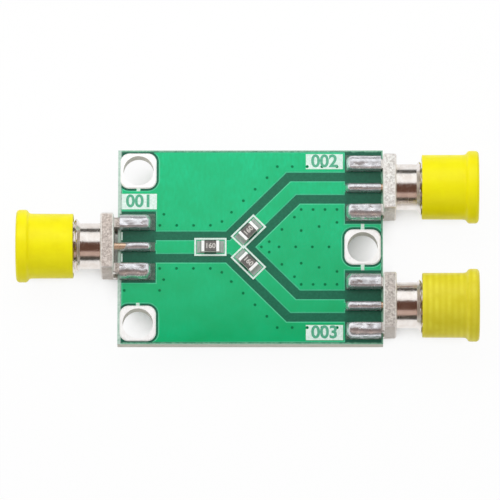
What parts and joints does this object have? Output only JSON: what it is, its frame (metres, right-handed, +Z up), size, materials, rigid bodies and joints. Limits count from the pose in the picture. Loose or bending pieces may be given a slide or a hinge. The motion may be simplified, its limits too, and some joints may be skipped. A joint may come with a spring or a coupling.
{
  "type": "rf power splitter",
  "caption": "Resistive radio-frequency power splitter: a small green circuit board with chip resistors in a star and coaxial edge connectors under yellow push-on dust caps.",
  "frame": {"origin": "middle of the circuit board, on the surface that the cap rims lie on", "axes": "+X from port A to ports B and C, +Y from port C to port B, +Z up from the board's top face"},
  "size_m": [0.0523, 0.0226, 0.0082],
  "materials": {
    "laminate": "satin",
    "solder_mask": "gloss",
    "white_ink": "matte",
    "tinned_copper": "satin",
    "nickel": "satin",
    "ptfe": "matte",
    "gold": "polished",
    "cap_plastic": "satin",
    "solder": "polished",
    "alumina": "matte",
    "dark_coat": "satin"
  },
  "bodies": {
    "splitter": {"board_laminate": "laminate", "top_ground_pour": "solder_mask", "bottom_ground_plane": "solder_mask", "star_junction_trace": "solder_mask", "silkscreen": "white_ink", "upper_left_mounting_pad": "tinned_copper", "lower_left_mounting_pad": "tinned_copper", "right_mounting_pad": "tinned_copper", "port_a_trace": "solder_mask", "port_a_body": "nickel", "port_a_dielectric": "ptfe", "port_a_contact": "gold", "port_a_pads": "tinned_copper", "port_a_ground_solder": "solder", "port_a_signal_solder": "solder", "resistor_a_ceramic": "alumina", "resistor_a_terminals": "tinned_copper", "resistor_a_overcoat": "dark_coat", "resistor_a_solder": "solder", "port_b_trace": "solder_mask", "port_b_body": "nickel", "port_b_dielectric": "ptfe", "port_b_contact": "gold", "port_b_pads": "tinned_copper", "port_b_ground_solder": "solder", "port_b_signal_solder": "solder", "resistor_b_ceramic": "alumina", "resistor_b_terminals": "tinned_copper", "resistor_b_overcoat": "dark_coat", "resistor_b_solder": "solder", "port_c_trace": "solder_mask", "port_c_body": "nickel", "port_c_dielectric": "ptfe", "port_c_contact": "gold", "port_c_pads": "tinned_copper", "port_c_ground_solder": "solder", "port_c_signal_solder": "solder", "resistor_c_ceramic": "alumina", "resistor_c_terminals": "tinned_copper", "resistor_c_overcoat": "dark_coat", "resistor_c_solder": "solder"},
    "cap_a": {"port_a_cap": "cap_plastic"},
    "cap_b": {"port_b_cap": "cap_plastic"},
    "cap_c": {"port_c_cap": "cap_plastic"}
  },
  "joints": [
    {"name": "cap_a_pull", "type": "slide", "parent": "splitter", "child": "cap_a", "axis": [-1, 0, 0], "range_m": [0, 0.0065]},
    {"name": "cap_b_pull", "type": "slide", "parent": "splitter", "child": "cap_b", "axis": [1, 0, 0], "range_m": [0, 0.0065]},
    {"name": "cap_c_pull", "type": "slide", "parent": "splitter", "child": "cap_c", "axis": [1, 0, 0], "range_m": [0, 0.0065]}
  ]
}
